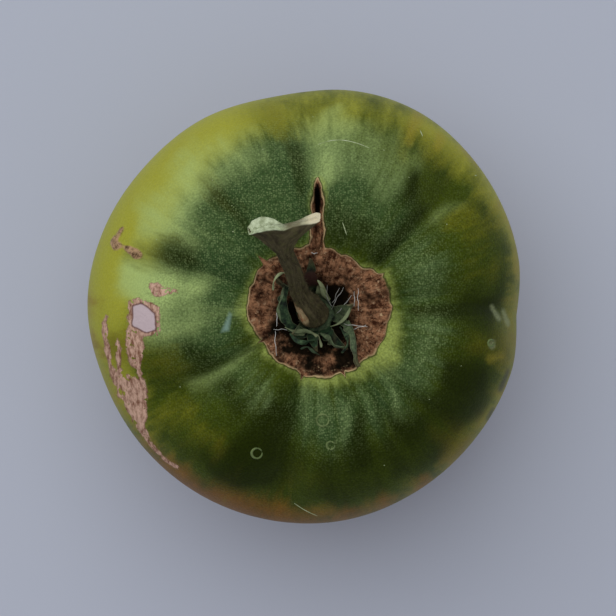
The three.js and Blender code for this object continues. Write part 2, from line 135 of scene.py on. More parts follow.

# Pigment and painted light, as patches: middle angle, how far round it leans from end to end, half width in
# degrees, the radii it runs between, and its strength. The dark ones are deep green, and also painted shade
# on the flanks of the creases that face away from the light. The pale ones are light green, and also painted
# sheen on the flanks that face it. The warm ones are olive and the rusty ones ripe. The dusty ones are
# greyed by fine wax, and lightened by painted sheen where the inner shoulder round the hollow faces the
# light.
PATCHES = dict(
    dark=[
        (1, 0, 5, 18, 42, 0.85), (5, 0, 9, 27, 43, 0.25), (43, 2, 4.5, 16, 34, 0.75),
        (52, 0, 4.5, 28, 36, 0.9), (60, 0, 26, 13, 23, 0.6), (82, 0, 9, 13, 25, 0.5),
        (97, 0, 4, 22, 39, 0.55), (129, 0, 5, 20, 37, 0.65), (159, 3, 6, 26, 37, 0.8),
        (162, 2, 4, 34, 44, 0.4), (199, 0, 9, 23, 31, 0.75), (206, 0, 2.5, 19, 33, 0.5),
        (201, 0, 9, 29, 40, 0.35), (220, 0, 7, 22, 29, 0.6), (230, 0, 6, 21, 29, 0.35),
        (247, 0, 12, 18, 43, 0.95), (248, 0, 9, 13, 20, 0.5), (262, 0, 6, 28, 38, 0.2),
        (275, 0, 9, 29, 44, 0.4), (289, -7, 4.5, 21, 35, 0.85), (301, 0, 2.5, 19, 29, 0.35),
        (307, 0, 5, 25, 36, 0.6), (320, 2, 4, 24, 32, 0.4), (308, 0, 38, 29, 43, 0.6),
        (335, 0, 11, 27, 42, 0.75), (345, 0, 22, 19, 23, 0.2), (356, 0, 6, 29, 42, 0.35),
        (232, 0, 8, 36, 43, 0.5),
    ],
    pale=[
        (169, 0, 5.5, 23, 44, 0.4), (170, 0, 5.5, 30, 44, 0.75), (177, 0, 11, 22, 38, 0.35),
        (176, 0, 11, 29.5, 39, 0.5), (188, 0, 7, 22, 38, 0.4), (165, 0, 4, 21, 29, 0.35),
        (171, 0, 5, 32, 41, 0.6), (85, 0, 9, 27, 45, 0.48), (73, 0, 9, 29, 42, 0.27),
        (62, 0, 9, 26, 42, 0.3), (37, 0, 4, 29, 41, 0.35), (137, 0, 26, 32, 44, 0.57),
        (112, 0, 9, 30, 40, 0.25), (143, 0, 9, 24, 38, 0.25), (154, 0, 5, 27, 42, 0.4),
        (211, 0, 4.5, 13, 35, 0.42), (262, 0, 5, 12, 20, 0.35), (319, 0, 4, 14, 25, 0.3),
        (182, 0, 7, 13, 24, 0.25),
    ],
    warm=[
        (14, 0, 5, 31, 43, 0.35), (33, 0, 5, 31, 43, 0.45), (24, 0, 7, 33, 45, 0.4),
        (61, 0, 3, 35, 47, 0.45), (50, 0, 7, 38, 46, 0.35), (103, 0, 9, 37, 47, 0.6),
        (129, 0, 5, 22, 37, 0.3), (160, 2, 6, 32, 42, 0.5), (192, 0, 9, 36, 47, 0.7),
        (200, 0, 8, 27, 39, 0.5), (214, 0, 5, 31, 46, 0.4), (232, 0, 6, 30, 39, 0.4),
        (222, 0, 8, 32, 43, 0.35), (246, 0, 5, 36, 45, 0.4), (268, 0, 7, 32, 43, 0.3),
        (317, 0, 6, 34, 47, 0.6), (346, 0, 6, 31, 47, 0.65), (356, 0, 6, 36, 47, 0.35),
    ],
    rusty=[
        (193, 0, 8, 36, 48, 0.3), (246, 0, 5, 36, 45, 0.4), (280, 0, 4, 41, 48, 0.4),
        (291, 0, 4, 40, 48, 0.4), (304, 0, 4, 41, 48, 0.5), (316, 0, 5, 37, 47, 0.5),
        (346, 0, 4, 38, 46, 0.4), (234, 0, 5, 31, 41, 0.25),
    ],
    dusty=[
        (20, 0, 18, 19, 29, 0.35), (50, 0, 5, 18, 25, 0.3), (226, 0, 11, 16, 23, 0.25),
        (236, 0, 5, 16, 26, 0.3), (241.5, 0, 2.5, 18, 25, 0.5), (263, 0, 4, 16, 26, 0.4),
        (275, 0, 9, 15, 26, 0.35), (284, -8, 2.5, 18, 31, 0.6), (296, 0, 4, 16, 26, 0.4),
        (313, -7, 3, 16, 29, 0.6), (330, 0, 10, 19, 27, 0.35), (341, 0, 8, 20, 28, 0.45),
        (351, 0, 6, 19, 28, 0.45),
    ],
)
# Every 30 degrees: how blue-green the shoulder is and how far out that goes, how far the belt has yellowed
# and browned, and how yellow the skin is beside the cork.
TEAL = [0.6, 0.6, 0.7, 1.0, 1.0, 1.0, 0.95, 0.6, 0.4, 0.75, 0.7, 0.65]
TEAL_ENDS = [32, 33, 37, 40, 40, 39, 37, 32, 28, 32, 31, 31]
YELLOWED = [0.8, 0.95, 0.55, 0.5, 0.95, 1.1, 1.0, 0.6, 0.2, 0.25, 0.42, 0.6]
BROWNED = [0.3, 0.15, 0.05, 0.05, 0.0, 0.05, 0.25, 0.45, 1.1, 0.8, 0.4, 0.35]
HALO = [0.45, 0.35, 0.0, 0.05, 0.1, 0.15, 0.35, 0.3, 0.15, 0.5, 0.5, 1.1]
YELLOW_STARTS = [40, 40, 37, 34, 33, 31, 33, 36, 38, 38, 38, 38]
YELLOW_SPREAD = 10
BROWN_FROM, BROWN_FULL = 40, 48
PATCH_WANDER = (1.1, 0.9)
# The fields that the skin's material reads from its mesh.
SKIN_FIELDS = (
    "cork_edge", "slit_edge", "scar_edge", "window_edge", "scab_edge", "scuff_edge", "smudge_edge",
    "ochre_edge", "bruise_edge", "yellow", "brown", "teal", "dark", "pale", "warm", "dusty", "halo",
    "depth", "crack_lip",
)
# The grain field follows the skin round, and runs this many degrees of latitude per radius of the girth.
GRAIN_DEGREES = 300
# A pigment fades out where its field falls from this to nothing.
FIELD_FADES = 0.15
# The share of the pores that shows on plain skin, their spacing, and the granules' dark and bright tones.
# The skin's real grain is its cells, under 0.1 mm, so the granules are drawn as coarse as they need to show.
PORED, PORE_SPACING = 0.1, 0.45
GRANULE_TONES = (0.68, 1.24)
# Roughness and depth of the fine bumps, of the waxy skin first and of cork second.
ROUGHNESS, BUMPS = (0.42, 0.9), (0.3, 0.9)
# The size of the scars' creases along X, Y and Z, and the blossom scar's radius.
SCAR_CREASES = (0.714, 2, 2)
BLOSSOM_SCAR = 3.6

# The skin's grid, and where it is finer: the angle or latitude, by how much, and over how many degrees.
SKIN_COLUMNS, SKIN_ROWS = 430, 222
FINER_COLUMNS = [(CRACK["angle"], 3, 5), (188, 0.5, 30), *((crease["start"], 0.5, 5) for crease in CREASES)]
FINER_ROWS = [(78, 2.4, 9), (58, 0.8, 14)]


def smooth(low, high, x):
    """0 below low, 1 above high, and 3t^2 - 2t^3 between them, where t runs from 0 to 1."""
    t = np.clip((x - low) / (high - low), 0, 1)
    return t * t * (3 - 2 * t)


def bell(x):
    """The bell curve e^(-x^2)."""
    return np.exp(-x * x)


def turn(start, end):
    """The shortest turn from one angle to another, from -180 to 180 degrees."""
    return (end - start + 180) % 360 - 180


def catmull_rom(a, b, c, d, t):
    """The Catmull-Rom curve from b to c, whose neighbours are a and d, at t from 0 to 1."""
    return b + 0.5 * t * (c - a + t * (2 * a - 5 * b + 4 * c - d + t * (3 * (b - c) + d - a)))


def closed_curve(values, angle):
    """A value at each angle, on a closed Catmull-Rom curve through values spaced evenly round the circle."""
    place = (np.asarray(angle, float) % 360) / 360 * len(values)
    i = np.floor(place).astype(int)
    return catmull_rom(*(np.take(values, i + k, mode="wrap") for k in (-1, 0, 1, 2)), place - i)


def crowded(count, low, high, finer):
    """Count + 1 values from low to high, closer together in the finer places. Each of those adds a bell
    curve to an even density, and the values come from the inverse of the density's integral."""
    fine = np.linspace(low, high, 4001)
    middle = (fine[1:] + fine[:-1]) / 2
    density = 1 + sum(more * bell(turn(place, middle) / spread) for place, more, spread in finer)
    total = np.concatenate([[0], np.cumsum(density)])
    return np.interp(np.linspace(0, total[-1], count + 1), total, fine)


def ripples(points, size, seed, waves=18):
    """A smooth random field from about -1 to 1: waves of about one size, in random directions and phases."""
    draw = np.random.default_rng(seed)
    ways = draw.normal(size=(waves, 3))
    ways /= np.linalg.norm(ways, axis=1, keepdims=True)
    ways *= 2 * np.pi / (size * draw.uniform(0.7, 1.5, (waves, 1)))
    phases = draw.uniform(0, 2 * np.pi, waves)
    return np.cos(points @ ways.T + phases).sum(axis=-1) / np.sqrt(waves)


def hollow(r):
    """How far the hollow sinks the crown at r from its middle: a wide cosine bowl, a narrow one in it."""
    return sum(np.where(r < dip["radius"], dip["depth"] * 0.5 * (1 + np.cos(np.pi * r / dip["radius"])), 0)
               for dip in (BOWL, PIT))


def crease_depth(angle, latitude, r):
    """Depth of the valleys between ribs: round notches that fade in at the hollow and out down the side."""
    total = 0
    for crease in CREASES:
        middle = crease["start"] + turn(crease["start"], crease["end"]) * smooth(*CREASE_TURNS, latitude)
        off = np.hypot(turn(middle, angle) / crease["half"], CREASE_ROUND)
        shoulder = smooth(crease["fades"], crease["fades"] + CREASE_FADE, latitude)
        lobe = LOBES["share"] * bell((latitude - LOBES["latitude"]) / LOBES["spread"])
        total = total + crease["depth"] * np.clip(1 - off, 0, 1) ** CREASE_SHARP * (shoulder + lobe)
    return total * smooth(CREASE_STARTS, CREASE_FULL, r)


def tapered(along, opens, closes):
    """A cut's square-root ends: it opens over its first 1 / opens, and closes over its last 1 / closes."""
    return np.sqrt(np.clip(along * opens, 0, 1) * np.clip((1 - along) * closes, 0, 1))


def crack_depth(angle, r):
    """Depth of the healed crack and of the open slit in it: troughs along one radius, with tapered ends."""
    round_to_crack = turn(CRACK["angle"], angle)
    off = np.abs(r * np.sin(np.radians(round_to_crack)))
    total = 0
    for cut in (CRACK, SLIT):
        along = (r - cut["start"]) / (cut["end"] - cut["start"])
        total = total + cut["depth"] * tapered(along, *CUT_TAPERS) * smooth(1, 0, off / cut["half"])
    return np.where(np.abs(round_to_crack) < CUT_REACH, total, 0)


def skin_points(angle, latitude, relief=0.0):
    """Points of the skin. The meridian is a superellipse that closes round the hollow's middle above and
    round the origin below, scaled to the girth at that angle; creases sink it along the latitude's
    direction, relief raises it."""
    a = np.radians(latitude)
    out = np.abs(np.cos(a)) ** (2 / ROUNDNESS)
    up = np.abs(np.sin(a)) ** (2 / ROUNDNESS)
    shift = smooth(*MIDDLE_MOVES, latitude)
    r = closed_curve(GIRTH, angle) * out
    dent = crease_depth(angle, latitude, r) - relief
    reach = r - dent * np.cos(a)
    crown = EQUATOR_Z + CROWN_RISE * up - hollow(r) - dent * np.sin(a) - crack_depth(angle, r)
    base = np.maximum(0, EQUATOR_Z - BASE_DROP * up - dent * np.sin(a))
    x = HOLLOW_CENTRE[0] * shift + GIRTH_SHIFT[0] * (1 - shift) + reach * np.cos(np.radians(angle))
    y = HOLLOW_CENTRE[1] * shift + GIRTH_SHIFT[1] * (1 - shift) + reach * np.sin(np.radians(angle))
    return np.stack(np.broadcast_arrays(x, y, np.where(latitude > 0, crown, base)), axis=-1)


def from_edge(x, y, start, end):
    """How far points are from a straight edge, and how far along it, from 0 to 1, they are nearest to it."""
    dx, dy = end[0] - start[0], end[1] - start[1]
    along = np.clip(((x - start[0]) * dx + (y - start[1]) * dy) / (dx * dx + dy * dy), 0, 1)
    return np.hypot(x - start[0] - along * dx, y - start[1] - along * dy), along


def inside_outline(x, y, corners):
    """Distance inside an outline, negative outside: to its nearest edge, signed by a ray's crossings."""
    edges = list(zip(corners, corners[1:] + corners[:1]))
    nearest = np.minimum.reduce([from_edge(x, y, *edge)[0] for edge in edges])
    inside = sum(((ay > y) != (by > y)) & (x < ax + (y - ay) * (bx - ax) / (by - ay))
                 for (ax, ay), (bx, by) in edges if ay != by) % 2 == 1
    return np.where(inside, nearest, -nearest)


def inside_stroke(x, y, line):
    """Distance inside a stroke, negative outside: its half width there less the distance from its line."""
    depths = []
    for start, end in zip(line, line[1:]):
        away, along = from_edge(x, y, start, end)
        depths.append(start[2] + along * (end[2] - start[2]) - away)
    return np.maximum.reduce(depths)


def inside_marks(x, y, outlines=(), strokes=()):
    """Distance inside a mark made of outlines and strokes: the greatest of theirs."""
    return np.maximum.reduce([inside_outline(x, y, outline) for outline in outlines]
                             + [inside_stroke(x, y, stroke) for stroke in strokes])


def closed_shell(grid, first, last, **fields):
    """A closed skin over a grid of points in mm, rows by columns: quads join neighbours, the last column
    joins the first, and a fan closes each end on its own point. Faces wind outwards where rows rise and
    columns turn left. Each field gives the grid's points a number or a vector, and the end points get the
    mean of their nearest row."""
    rows, columns = grid.shape[:2]
    here = 1 + np.arange(rows * columns).reshape(rows, columns)
    beside = np.roll(here, -1, axis=1)
    end = np.full(columns, rows * columns + 1)
    quads = np.stack([here[:-1], beside[:-1], beside[1:], here[1:]], axis=-1).reshape(-1, 4)
    fans = np.concatenate([np.stack([0 * end, beside[0], here[0]], axis=1),
                           np.stack([end, here[-1], beside[-1]], axis=1)])
    values = {name: np.concatenate([field[:1].mean(axis=1), field.reshape(-1, *field.shape[2:]),
                                    field[-1:].mean(axis=1)]) for name, field in fields.items()}
    return np.concatenate([[first], grid.reshape(-1, 3), [last]]), quads, fans, values


def mesh_of(name, shells):
    """One mesh of closed shells, with each of their fields as an attribute that a material reads."""
    points, quads, fans, values = zip(*shells)
    starts = np.cumsum([0, *map(len, points)])
    faces = [(part + start).tolist() for parts in (quads, fans) for part, start in zip(parts, starts)]
    mesh = bpy.data.meshes.new(name)
    mesh.from_pydata((np.concatenate(points) * MM).tolist(), [], sum(faces, []))
    mesh.shade_smooth()
    for field in values[0]:
        flat = np.concatenate([value[field] for value in values])
        kind, slot = ("FLOAT_VECTOR", "vector") if flat.ndim == 2 else ("FLOAT", "value")
        mesh.attributes.new(field, kind, "POINT").data.foreach_set(slot, flat.ravel().astype(np.float32))
    return mesh


def put(mesh, material, node=None):
    """The mesh as an object at the origin, with its material, riding on the fruit's one body."""
    piece = bpy.data.objects.new(mesh.name, mesh)
    bpy.context.collection.objects.link(piece)
    mesh.materials.append(material)
    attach(piece, "root")
    if node:
        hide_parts(node)
    return piece


def linear(colour):
    """An sRGB hex colour as linear red, green, blue and alpha: each channel goes through the sRGB curve."""
    channels = np.array([int(colour[i:i + 2], 16) for i in (1, 3, 5)]) / 255
    bright = np.where(channels <= 0.04045, channels / 12.92, ((channels + 0.055) / 1.055) ** 2.4)
    return (*bright.tolist(), 1.0)


def add(material, kind, *values, take=None, **named):
    """A node of that kind in the material. Its values fill the node's sockets in their order. The named ones
    are options of the node where they are in small letters, and sockets by their own names otherwise. A
    socket gets a number, a vector, a hex colour, or the output that feeds it. The first output that the node
    uses comes back, or the one named take."""
    node = material.node_tree.nodes.new("ShaderNode" + kind)
    for option in filter(str.islower, named):
        setattr(node, option, named[option])
    given = dict(zip((socket.identifier for socket in node.inputs if socket.enabled), values))
    given.update((name.replace("_", " "), value) for name, value in named.items())
    for socket in node.inputs:
        value = given.get(socket.identifier)
        if isinstance(value, bpy.types.NodeSocket):
            material.node_tree.links.new(value, socket)
        elif value is not None:
            socket.default_value = linear(value) if isinstance(value, str) else value
    outputs = (output for output in node.outputs if output.enabled and take in (None, output.identifier))
    return next(outputs, None)


def cover(material, colour, layers):
    """The colour under layers of other ones. A layer hides what is below it by nothing where its source is
    at low, and by its share where its source is at high."""
    for source, low, high, share, shade in layers:
        level = add(material, "MapRange", source, low, high, 0, share)
        colour = add(material, "Mix", level, colour, shade, data_type="RGBA")
    return colour


def fresh_material(name):
    """An empty material."""
    material = bpy.data.materials.new(name)
    material.use_nodes = True
    material.node_tree.nodes.clear()
    return material


def finish_material(material, **sockets):
    """The material, closed with one Principled shader that these inputs feed."""
    add(material, "OutputMaterial", add(material, "BsdfPrincipled", **sockets))
    return material


def waxy_skin():
    """Green tomato skin: smooth and waxy, so it is satin. Chlorophyll makes the shoulder teal and olive,
    ripening turns the belt yellow and amber, and pale pores freckle it. Painted shade darkens the creases'
    flanks that face away from the light, and painted sheen lightens the ones that face it. Healed cork is
    dull and brown. The deep hollow and the open slit are painted black as the shade in them."""
    skin = fresh_material("waxy_tomato_skin")
    place = add(skin, "TexCoord", take="Object")
    grain = add(skin, "Attribute", take="Vector", attribute_name="grain")
    read = {name: add(skin, "Attribute", take="Fac", attribute_name=name) for name in SKIN_FIELDS}
    # Each noise, by the size of its grains in millimetres, its detail and its roughness.
    clouds, blotches, gaps, mottle, speckle, flakes, pits, granules = (
        add(skin, "TexNoise", place, 1 / (size * MM), detail, rough) for size, detail, rough in (
            (9.09, 5, 0.6), (3.85, 5, 0.6), (2.38, 3, 0.6), (1.54, 7, 0.75), (1.43, 3, 0.7), (0.909, 4, 0.7),
            (0.667, 3, 0.5), (0.417, 2, 0.5)))
    streaks, fibres = (add(skin, "TexNoise", grain, GIRTH_RADIUS / size, detail, rough)
                       for size, detail, rough in ((5.33, 5, 0.65), (1.85, 4, 0.7)))

    # Each pigment covers the last one where its field, roughened by the streaks and clouds, is high: field,
    # how rough its edge is, the levels where it starts and is full, how much it covers then, and its colour.
    # The dark, pale and dusty fields also carry painted shade and painted sheen.
    patch = add(skin, "Math", clouds, 0.5, -0.85, operation="MULTIPLY_ADD")
    patch = add(skin, "Math", streaks, 1.2, patch, operation="MULTIPLY_ADD")
    colour = add(skin, "Mix", clouds, "#2f3b09", "#4c5a12", data_type="RGBA")
    for field, rough, start, full, share, shade in (
            ("teal", 0.9, 0.1, 0.9, 0.9, "#36502c"), ("yellow", 0.9, 0.05, 0.9, 0.9, "#b2b03a"),
            ("brown", 1.4, 0.1, 1, 0.8, "#8a561b"), ("pale", 0.7, 0, 1, 0.9, "#b2c779"),
            ("warm", 1.4, 0.05, 0.9, 0.8, "#77751a"), ("halo", 1.2, 0, 0.95, 0.85, "#a3b058"),
            ("dark", 0.9, 0, 0.9, 0.92, "#1f2904"), ("dusty", 1.3, 0, 0.95, 0.65, "#6d824e")):
        level = add(skin, "Math", patch, rough, read[field], operation="MULTIPLY_ADD")
        level = add(skin, "MapRange", level, start, full, 0, share, interpolation_type="SMOOTHSTEP")
        there = add(skin, "MapRange", read[field], 0, FIELD_FADES)
        level = add(skin, "Math", level, there, operation="MULTIPLY")
        colour = add(skin, "Mix", level, colour, shade, data_type="RGBA")
    # Soft smudges: field, how far each side of its edge it fades, how much it covers, and its colour.
    for field, soft, share, shade in (
            ("ochre_edge", 1.1, 0.6, "#a59530"), ("bruise_edge", 0.7, 0.7, "#2c2a30"),
            ("smudge_edge", 0.5, 0.7, "#9aa274")):
        level = add(skin, "Math", patch, 1.5 * soft, read[field], operation="MULTIPLY_ADD")
        level = add(skin, "MapRange", level, -soft, soft, 0, share, interpolation_type="SMOOTHSTEP")
        colour = add(skin, "Mix", level, colour, shade, data_type="RGBA")

    # Pale pores, more of them on teal skin and on the wax bloom with its painted sheen, and granules that
    # are fainter where it is yellow.
    pored = PORED
    for field, share in (("teal", 0.36), ("dusty", 0.55), ("dark", -0.12)):
        pored = add(skin, "Math", read[field], share, pored, operation="MULTIPLY_ADD", use_clamp=True)
    pores = add(skin, "TexVoronoi", place, 1 / (PORE_SPACING * MM), Randomness=0.7)
    pores = add(skin, "MapRange", pores, 0.1, 0.6, 1, 0)
    for share in (add(skin, "MapRange", speckle, 0.25, 0.6), pored):
        pores = add(skin, "Math", pores, share, operation="MULTIPLY")
    colour = add(skin, "Mix", pores, colour, "#a4b878", data_type="RGBA")
    granules = add(skin, "MapRange", granules, 0.3, 0.7, *GRANULE_TONES)
    granular = add(skin, "MapRange", read["yellow"], 0, 0.6, 1, 0.3)
    colour = add(skin, "HueSaturation", Value=granules, Fac=granular, Color=colour)

    # Cork: reddish brown and mottled, and painted black deep in the hollow as the shadow there. Its lip is
    # pale and broken, with a second broken fold inside it and a dark line outside it.
    hollow_shadow = add(skin, "Math", blotches, 2.6, read["depth"], operation="MULTIPLY_ADD")
    cork = cover(skin, "#3d2015", [
        (add(skin, "Mix", 0.3, mottle, fibres, data_type="FLOAT"), 0.43, 0.58, 1, "#ab7b59"),
        (flakes, 0.56, 0.7, 0.85, "#c8a47f"), (blotches, 0.5, 0.68, 0.65, "#3a1f17"),
        (hollow_shadow, 1.35, 1.95, 0.97, "#080606")])
    jitter = add(skin, "Math", mottle, 0.4, -0.2, operation="MULTIPLY_ADD")
    cork_edge, window_edge, scab_edge = (add(skin, "Math", read[name], jitter, operation="ADD")
                                         for name in ("cork_edge", "window_edge", "scab_edge"))
    lip, broken = (add(skin, "MapRange", *span) for span in ((cork_edge, 0.34, 0.12), (clouds, 0.35, 0.6)))
    broken = add(skin, "Math", broken, read["crack_lip"], operation="MAXIMUM")
    lip = add(skin, "Math", lip, broken, operation="MULTIPLY")
    fold = add(skin, "Math", blotches, 4, read["cork_edge"], operation="MULTIPLY_ADD")
    fold = add(skin, "Math", fold, -3.5, operation="ADD")
    fold = add(skin, "MapRange", add(skin, "Math", fold, operation="ABSOLUTE"), 0.28, 0.1)
    fold = add(skin, "Math", fold, add(skin, "MapRange", flakes, 0.56, 0.7, 0, 0.85), operation="MULTIPLY")
    lip = add(skin, "Math", lip, fold, operation="MAXIMUM")
    cork = add(skin, "Mix", lip, cork, "#cdb081", data_type="RGBA")

    # Scars: pinkish tan with dark creases and a ragged edge, the window lilac grey inside a dark line, and
    # the scabs dark brown.
    ragged = add(skin, "Math", mottle, 2.2, -0.95, operation="MULTIPLY_ADD")
    ragged = add(skin, "Math", ragged, read["scar_edge"], operation="ADD")
    ragged = add(skin, "Math", ragged, add(skin, "MapRange", gaps, 0.56, 0.68, 0, 2), operation="SUBTRACT")
    creased = add(skin, "Mapping", place, Scale=[1 / (size * MM) for size in SCAR_CREASES])
    creased = add(skin, "TexNoise", creased, 1, 5, 0.7)
    scar = cover(skin, "#855a45", [
        (creased, 0.36, 0.58, 1, "#dfb69d"), (ragged, 0.3, 0.08, 0.45, "#4a3020")])
    scab = cover(skin, "#46301d", [(mottle, 0.38, 0.55, 1, "#bd9872")])

    # The blossom scar is a small disc of cork in the middle of the underside.
    middle = (GIRTH_SHIFT[0] * MM, GIRTH_SHIFT[1] * MM, 0)
    blossom = add(skin, "VectorMath", place, middle, operation="DISTANCE")
    blossom = add(skin, "Math", mottle, 2 * MM, blossom, operation="MULTIPLY_ADD")
    # The marks cover the skin in turn. The open slit is painted near black, as painted shade in its depth.
    colour = cover(skin, colour, [
        (cork_edge, -0.38, -0.15, 0.75, "#2c2214"), (cork_edge, -0.05, 0.1, 1, cork),
        (read["slit_edge"], -0.1, 0.3, 1, "#120c0a"), (ragged, -0.1, 0.1, 1, scar),
        (window_edge, -0.3, -0.05, 0.85, "#6b4a48"), (window_edge, 0, 0.3, 1, "#d4bfc0"),
        (scab_edge, -0.2, 0.2, 1, scab), (read["scuff_edge"], -0.1, 0.7, 0.75, "#8ba99b"),
        (blossom, BLOSSOM_SCAR * MM, (BLOSSOM_SCAR - 0.6) * MM, 1, cork)])

    # Cork and scars are duller than skin, and rougher.
    dull = (add(skin, "MapRange", *span) for span in ((cork_edge, -0.05, 0.1), (ragged, -0.1, 0.1)))
    dull = add(skin, "Math", *dull, operation="MAXIMUM")
    roughness, strength = (add(skin, "MapRange", dull, 0, 1, *ends) for ends in (ROUGHNESS, BUMPS))
    relief = add(skin, "Mix", dull, pits, mottle, data_type="FLOAT")
    bump = add(skin, "Bump", Strength=strength, Distance=0.3 * MM, Height=relief)
    return finish_material(skin, Base_Color=colour, Roughness=roughness, Normal=bump, IOR=1.45,
                           Specular_IOR_Level=0.1, Specular_Tint=(1, 1, 0.3, 1))


def patches(places, angle, reach):
    """How much of some pigment there is. Each patch is a bell curve across, whose middle leans with the
    radius, and fades in and out along it. Where patches overlap, what they leave uncovered is multiplied."""
    left = 1
    for middle, lean, half, start, end, strength in places:
        along = np.clip((reach - start) / (end - start), 0, 1) - 0.5
        across = turn(middle + lean * along, angle) / half
        ends = smooth(start - 2, start + 4, reach) * smooth(end + 2, end - 4, reach)
        left = left * (1 - strength * bell(across) * ends)
    return 1 - left


def fruit_mesh():
    """The skin on a grid of angles by latitudes, with its low relief and its material's fields."""
    angle = crowded(SKIN_COLUMNS, -90, 270, FINER_COLUMNS)[:-1][None, :]
    flat_edge = -np.degrees(np.arcsin((EQUATOR_Z / BASE_DROP) ** (ROUNDNESS / 2)))
    latitude = crowded(SKIN_ROWS, flat_edge, 90, FINER_ROWS)[:-1][:, None]
    above = latitude > 0
    points = skin_points(angle, latitude)
    x, y = points[..., 0], points[..., 1]
    dx, dy = x - HOLLOW_CENTRE[0], y - HOLLOW_CENTRE[1]
    r, way = np.hypot(dx, dy), np.degrees(np.arctan2(dy, dx))

    # The edges of the marks, each as the distance inside it. The cork is a spiky ring and the crack.
    wander = sum(by * ripples(points, size, seed) for by, size, seed in EDGE_WANDER)
    ring = closed_curve(CORK_RING, way)
    for at, height, half in CORK_SPIKES:
        ring = ring + height * np.clip(1 - np.abs(turn(at, way)) / half, 0, 1) ** 1.5
    round_to_crack = turn(CRACK["angle"], way)
    cuts = []
    for cut in (CRACK, SLIT):
        along = (r - cut["start"]) / (cut["end"] - cut["start"])
        half = cut["half"] * np.interp(along, (0, 1), cut["widths"]) * tapered(along, *cut["tapers"])
        there = (along > 0) & (along < 1) & (np.abs(round_to_crack) < CUT_REACH)
        cuts.append(np.where(there, half - np.abs(r * np.sin(np.radians(round_to_crack))), FAR_OUTSIDE))
    marks = {
        "cork_edge": np.maximum(ring - r, cuts[0]) + wander,
        "slit_edge": cuts[1],
        "scar_edge": inside_marks(x, y, SCAR_OUTLINES, SCAR_STROKES) + 0.5 * wander,
        "window_edge": inside_marks(x, y, [WINDOW_OUTLINE]) + 0.3 * wander,
        "scab_edge": inside_marks(x, y, strokes=SCAB_STROKES) + wander,
        "scuff_edge": inside_marks(x, y, [SCUFF_OUTLINE]),
        "smudge_edge": inside_marks(x, y, strokes=SMUDGE_STROKES),
        "ochre_edge": inside_marks(x, y, strokes=OCHRE_STROKES),
        "bruise_edge": inside_marks(x, y, strokes=BRUISE_STROKES),
    }
    marks = {name: np.clip(np.where(latitude > MARKS_ABOVE, edge, FAR_OUTSIDE), FAR_OUTSIDE, -FAR_OUTSIDE)
             for name, edge in marks.items()}
    cork = marks["cork_edge"]
    relief = LIP_RISE * bell((cork - 0.1) / 0.35) - CORK_SUNK * smooth(0, 0.5, cork)
    relief += CORK_BUMPS * smooth(0, 1, cork) * (ripples(points, 1.1, 5) + ripples(points, 2.6, 16))
    relief += SCAR_RISE * smooth(-0.2, 0.3, marks["scar_edge"]) * (1 + 0.5 * ripples(points, 1.2, 6))
    relief += SCAB_RISE * smooth(-0.2, 0.5, marks["scab_edge"])
    relief *= smooth(2, 8, r)

    # How much there is of each pigment. Reach is the radius at that latitude. Below is the same down to the
    # girth, and goes on growing under it.
    reach = closed_curve(GIRTH, angle) * np.cos(np.radians(latitude)) ** (2 / ROUNDNESS)
    below = np.where(above, reach, GIRTH_RADIUS + (GIRTH_RADIUS - reach) * 0.5)
    teal, teal_ends, yellowed, yellow_starts, browned, halo = (
        closed_curve(values, angle) for values in (TEAL, TEAL_ENDS, YELLOWED, YELLOW_STARTS, BROWNED, HALO))
    wandered = angle + PATCH_WANDER[0] * ripples(points, 11, 14)
    there = wandered, reach + PATCH_WANDER[1] * ripples(points, 9, 15)
    pigments = {name: patches(places, *there) * above for name, places in PATCHES.items()}
    rusty = pigments.pop("rusty")
    fields = dict(
        marks,
        yellow=smooth(0, YELLOW_SPREAD, below - yellow_starts) * yellowed,
        brown=smooth(BROWN_FROM, BROWN_FULL, below) * browned + smooth(-5, -40, latitude) + rusty,
        teal=smooth(5, -9, reach - teal_ends) * teal * smooth(10, 22, reach) * above,
        halo=smooth(1, 0, -cork / (1.2 + 6 * halo)) * (0.35 + 0.65 * halo) * above,
        crack_lip=smooth(0.5, 2, r - ring) * above,
        # depth is painted shadow deep in the hollow, black round the pit and under the sepals.
        depth=sum(smooth(gone, full, np.hypot(x - at[0], y - at[1])) for at, full, gone in HOLLOW_SHADOWS) * above,
        **pigments,
    )
    turned = np.radians(angle)
    grain = np.stack(np.broadcast_arrays(np.cos(turned), np.sin(turned), latitude / GRAIN_DEGREES), axis=-1)
    fields = {name: np.broadcast_to(field, r.shape) for name, field in fields.items()}
    bottom, top = np.array([*GIRTH_SHIFT, 0.0]), skin_points(0.0, 90.0)
    skin = closed_shell(skin_points(angle, latitude, relief), bottom, top, grain=grain, **fields)
    return mesh_of("tomato_skin", [skin])


fruit = put(fruit_mesh(), waxy_skin(), node="fruit")

# The calyx: a small cup under the stalk with eight narrow sepals, leaf-like when fresh and now dried and
# curled. They grew as one piece, and the sepals lie up the wall of the hollow.
CUP_CENTRE = (2.56, -1.63)
CUP_PROFILE = [
    (0.8, 55.35), (1.6, 55.75), (2.3, 56.3), (2.9, 56.95), (3.5, 57.65), (3.9, 58.3), (3.85, 58.7),
    (3.3, 58.9), (1.6, 58.95),
]
CUP_ENDS = (55.25, 58.9)
CUP_KNOBS, CUP_KNOB_RISE = 8, 0.05
CUP_COLUMNS = 96
SEPAL_ROOT = 3.1
SEPAL_CLEAR = 1.1
SEPAL_CURL, SEPAL_TROUGH = 0.5, 0.28
SEPAL_RAGGED, SEPAL_WAVES = 0.16, 0.35
SEPAL_RIB, SEPAL_RIB_HALF = 0.1, 0.16
SEPAL_THICKNESS = 0.45
SEPAL_ROOT_WIDTH, SEPAL_SWELL, SEPAL_WIDEST = 0.75, 0.6, 0.62
SEPAL_ROWS, SEPAL_COLUMNS = 60, 28
